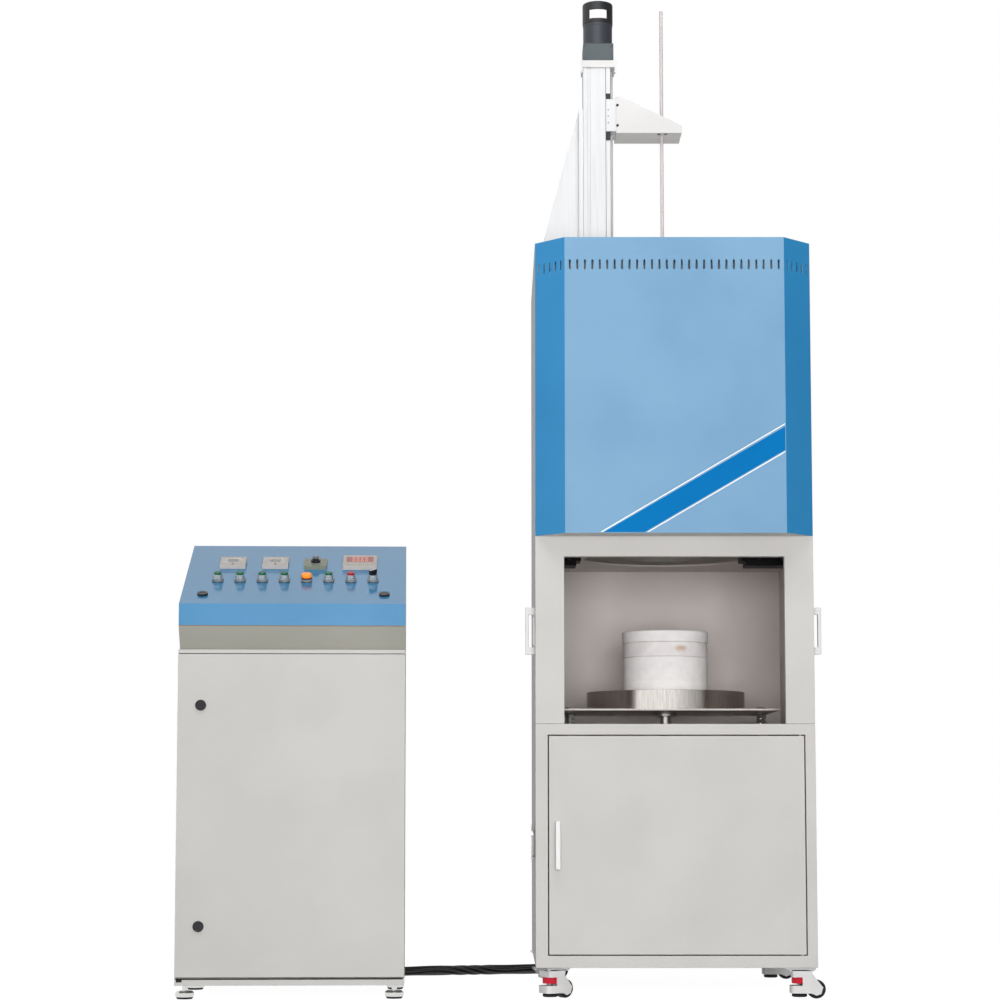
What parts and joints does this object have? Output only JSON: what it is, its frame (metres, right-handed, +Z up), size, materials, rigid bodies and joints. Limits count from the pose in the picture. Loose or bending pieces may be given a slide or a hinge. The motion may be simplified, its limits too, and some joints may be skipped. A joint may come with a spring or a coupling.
{
  "type": "crucible lift furnace",
  "caption": "Floor-standing furnace tower whose screw-lifted table carries a crucible up into the chamber, with a probe mast on top and a cabled control console.",
  "frame": {"origin": "on the floor at the centre of the outer box of console and tower together", "axes": "+X to the viewer's right along the fronts, +Y towards the back, +Z up"},
  "size_m": [1.7514, 1.0295, 2.8386],
  "materials": {
    "body_paint": "light warm grey powder coat, fine satin",
    "cover_blue": "sky blue gloss paint with a darker diagonal band",
    "lid_blue": "blue gloss paint",
    "frame_black": "black paint",
    "refractory": "white fired fibre board, faint ochre staining",
    "element_dark": "dark grey heating element",
    "stainless": "brushed stainless steel",
    "chromed": "hard chromed ground shaft",
    "drive_grey": "dark grey drive enamel",
    "motor_black": "satin black motor enamel",
    "handle_white": "white moulded plastic",
    "fan_black": "black glass-filled plastic",
    "anodised": "clear anodised aluminium",
    "rod_ceramic": "pale fired ceramic rod",
    "caster_white": "white painted die casting",
    "wheel_black": "black nylon wheel",
    "foot_red": "red thumbwheel over a black rubber pad",
    "button_green": "green moulded cap",
    "button_red": "red moulded cap",
    "knob_black": "black moulded knob with a white mark",
    "meter_case": "pale meter case with a clear window",
    "controller_case": "pale instrument case with a dark display",
    "lock_black": "black glass-filled lock",
    "cable_black": "black spiral-wrapped cable bundle"
  },
  "bodies": {
    "frame": {"base_cabinet": "body_paint", "upper_body": "body_paint", "front_cover": "cover_blue", "furnace_base_frame": "frame_black", "insulation_block": "refractory", "heating_elements": "element_dark", "side_fan_frame": "fan_black", "grab_handle_left": "handle_white", "grab_handle_right": "handle_white", "lift_actuator": "drive_grey", "mast_profile": "anodised", "mast_brace": "anodised", "mast_gearbox": "drive_grey", "mast_motor": "motor_black", "console_body": "body_paint", "link_cable": "cable_black"},
    "cabinet_door": {"base_door": "body_paint", "base_door_handle": "handle_white"},
    "fan": {"fan_rotor": "fan_black"},
    "lift_table": {"lift_plate": "stainless", "hearth_disc": "stainless", "plug_base": "refractory", "plug_ring": "refractory", "plug_cap": "refractory", "guide_rod_left": "chromed", "guide_rod_right": "chromed", "lift_column": "chromed"},
    "carriage": {"mast_carriage": "anodised", "mast_arm": "anodised", "push_rod": "rod_ceramic"},
    "lead_screw": {"mast_screw": "stainless"},
    "door": {"console_door": "body_paint"},
    "lid": {"console_lid": "lid_blue", "ammeter": "meter_case", "voltmeter": "meter_case", "temperature_controller": "controller_case"},
    "caster_front_left": {"caster_front_left_housing": "caster_white"},
    "wheel_front_left": {"caster_front_left_wheel": "wheel_black"},
    "foot_front_left": {"caster_front_left_foot": "foot_red"},
    "caster_front_right": {"caster_front_right_housing": "caster_white"},
    "wheel_front_right": {"caster_front_right_wheel": "wheel_black"},
    "foot_front_right": {"caster_front_right_foot": "foot_red"},
    "caster_rear_left": {"caster_rear_left_housing": "caster_white"},
    "wheel_rear_left": {"caster_rear_left_wheel": "wheel_black"},
    "foot_rear_left": {"caster_rear_left_foot": "foot_red"},
    "caster_rear_right": {"caster_rear_right_housing": "caster_white"},
    "wheel_rear_right": {"caster_rear_right_wheel": "wheel_black"},
    "foot_rear_right": {"caster_rear_right_foot": "foot_red"},
    "button_1": {"push_button_1": "button_green"},
    "button_2": {"push_button_2": "button_green"},
    "button_3": {"push_button_3": "button_green"},
    "button_4": {"push_button_4": "button_green"},
    "button_5": {"push_button_5": "button_green"},
    "button_6": {"push_button_6": "button_red"},
    "selector": {"selector_switch": "knob_black"},
    "cam_knob": {"cam_switch_knob": "knob_black"},
    "door_lock_upper": {"door_lock_upper": "lock_black"},
    "door_lock_lower": {"door_lock_lower": "lock_black"},
    "lid_lock_left": {"lid_lock_left": "lock_black"},
    "lid_lock_right": {"lid_lock_right": "lock_black"}
  },
  "joints": [
    {"name": "lift_slide", "type": "slide", "parent": "frame", "child": "lift_table", "axis": [0, 0, 1], "range_m": [0, 0.38]},
    {"name": "carriage_slide", "type": "slide", "parent": "frame", "child": "carriage", "axis": [0, 0, 1], "range_m": [-0.35, 0.06]},
    {"name": "screw_spin", "type": "hinge", "parent": "frame", "child": "lead_screw", "pos_m": [0.32868, 0.04, 2.3], "axis": [0, 0, 1], "continuous": true},
    {"name": "fan_spin", "type": "hinge", "parent": "frame", "child": "fan", "pos_m": [0.10768, -0.17, 0.408], "axis": [1, 0, 0], "continuous": true},
    {"name": "cabinet_door_hinge", "type": "hinge", "parent": "frame", "child": "cabinet_door", "pos_m": [0.80968, -0.342, 0.4], "axis": [0, 0, 1], "range_deg": [0, 105]},
    {"name": "console_door_hinge", "type": "hinge", "parent": "frame", "child": "door", "pos_m": [-0.25704, -0.31893, 0.488], "axis": [0, 0, 1], "range_deg": [0, 105]},
    {"name": "lid_hinge", "type": "hinge", "parent": "frame", "child": "lid", "pos_m": [-0.57112, 0.10767, 1.2465], "axis": [-0.9994, -0.0349, 0], "range_deg": [0, 75]},
    {"name": "swivel_front_left", "type": "hinge", "parent": "frame", "child": "caster_front_left", "pos_m": [0.14168, -0.308, 0.08], "axis": [0, 0, 1], "continuous": true},
    {"name": "roll_front_left", "type": "hinge", "parent": "caster_front_left", "child": "wheel_front_left", "pos_m": [0.17526, -0.28448, 0.025], "axis": [-0.5736, 0.8192, 0], "continuous": true},
    {"name": "level_front_left", "type": "slide", "parent": "caster_front_left", "child": "foot_front_left", "axis": [0, 0, -1], "range_m": [0, 0.0045]},
    {"name": "swivel_front_right", "type": "hinge", "parent": "frame", "child": "caster_front_right", "pos_m": [0.80768, -0.308, 0.08], "axis": [0, 0, 1], "continuous": true},
    {"name": "roll_front_right", "type": "hinge", "parent": "caster_front_right", "child": "wheel_front_right", "pos_m": [0.84868, -0.308, 0.025], "axis": [0, 1, 0], "continuous": true},
    {"name": "level_front_right", "type": "slide", "parent": "caster_front_right", "child": "foot_front_right", "axis": [0, 0, -1], "range_m": [0, 0.0045]},
    {"name": "swivel_rear_left", "type": "hinge", "parent": "frame", "child": "caster_rear_left", "pos_m": [0.14168, 0.388, 0.08], "axis": [0, 0, 1], "continuous": true},
    {"name": "roll_rear_left", "type": "hinge", "parent": "caster_rear_left", "child": "wheel_rear_left", "pos_m": [0.18021, 0.40202, 0.025], "axis": [-0.342, 0.9397, 0], "continuous": true},
    {"name": "level_rear_left", "type": "slide", "parent": "caster_rear_left", "child": "foot_rear_left", "axis": [0, 0, -1], "range_m": [0, 0.0045]},
    {"name": "swivel_rear_right", "type": "hinge", "parent": "frame", "child": "caster_rear_right", "pos_m": [0.80768, 0.388, 0.08], "axis": [0, 0, 1], "continuous": true},
    {"name": "roll_rear_right", "type": "hinge", "parent": "caster_rear_right", "child": "wheel_rear_right", "pos_m": [0.84868, 0.388, 0.025], "axis": [0, 1, 0], "continuous": true},
    {"name": "level_rear_right", "type": "slide", "parent": "caster_rear_right", "child": "foot_rear_right", "axis": [0, 0, -1], "range_m": [0, 0.0045]},
    {"name": "button_1_press", "type": "slide", "parent": "lid", "child": "button_1", "axis": [-0.0145, 0.4153, -0.9096], "range_m": [0, 0.004], "stiffness_N_per_m": 600, "springref_m": -0.003},
    {"name": "button_2_press", "type": "slide", "parent": "lid", "child": "button_2", "axis": [-0.0145, 0.4153, -0.9096], "range_m": [0, 0.004], "stiffness_N_per_m": 600, "springref_m": -0.003},
    {"name": "button_3_press", "type": "slide", "parent": "lid", "child": "button_3", "axis": [-0.0145, 0.4153, -0.9096], "range_m": [0, 0.004], "stiffness_N_per_m": 600, "springref_m": -0.003},
    {"name": "button_4_press", "type": "slide", "parent": "lid", "child": "button_4", "axis": [-0.0145, 0.4153, -0.9096], "range_m": [0, 0.004], "stiffness_N_per_m": 600, "springref_m": -0.003},
    {"name": "button_5_press", "type": "slide", "parent": "lid", "child": "button_5", "axis": [-0.0145, 0.4153, -0.9096], "range_m": [0, 0.004], "stiffness_N_per_m": 600, "springref_m": -0.003},
    {"name": "button_6_press", "type": "slide", "parent": "lid", "child": "button_6", "axis": [-0.0145, 0.4153, -0.9096], "range_m": [0, 0.004], "stiffness_N_per_m": 600, "springref_m": -0.003},
    {"name": "selector_turn", "type": "hinge", "parent": "lid", "child": "selector", "pos_m": [-0.34725, -0.16553, 1.13004], "axis": [0.0145, -0.4153, 0.9096], "range_deg": [0, 90]},
    {"name": "cam_switch_turn", "type": "hinge", "parent": "lid", "child": "cam_knob", "pos_m": [-0.5145, -0.0576, 1.18198], "axis": [0.0145, -0.4153, 0.9096], "range_deg": [-60, 60]},
    {"name": "door_lock_upper_turn", "type": "hinge", "parent": "door", "child": "door_lock_upper", "pos_m": [-0.79836, -0.34784, 0.78], "axis": [0.0349, -0.9994, 0], "range_deg": [0, 90]},
    {"name": "door_lock_lower_turn", "type": "hinge", "parent": "door", "child": "door_lock_lower", "pos_m": [-0.79836, -0.34784, 0.192], "axis": [0.0349, -0.9994, 0], "range_deg": [0, 90]},
    {"name": "lid_lock_left_turn", "type": "hinge", "parent": "lid", "child": "lid_lock_left", "pos_m": [-0.80455, -0.28525, 1.08267], "axis": [0.0145, -0.4153, 0.9096], "range_deg": [-90, 0]},
    {"name": "lid_lock_right_turn", "type": "hinge", "parent": "lid", "child": "lid_lock_right", "pos_m": [-0.31085, -0.26801, 1.08267], "axis": [0.0145, -0.4153, 0.9096], "range_deg": [0, 90]}
  ],
  "couplings": [
    {"joint": "screw_spin", "follows": "carriage_slide", "rad_per_m": 251.33}
  ]
}
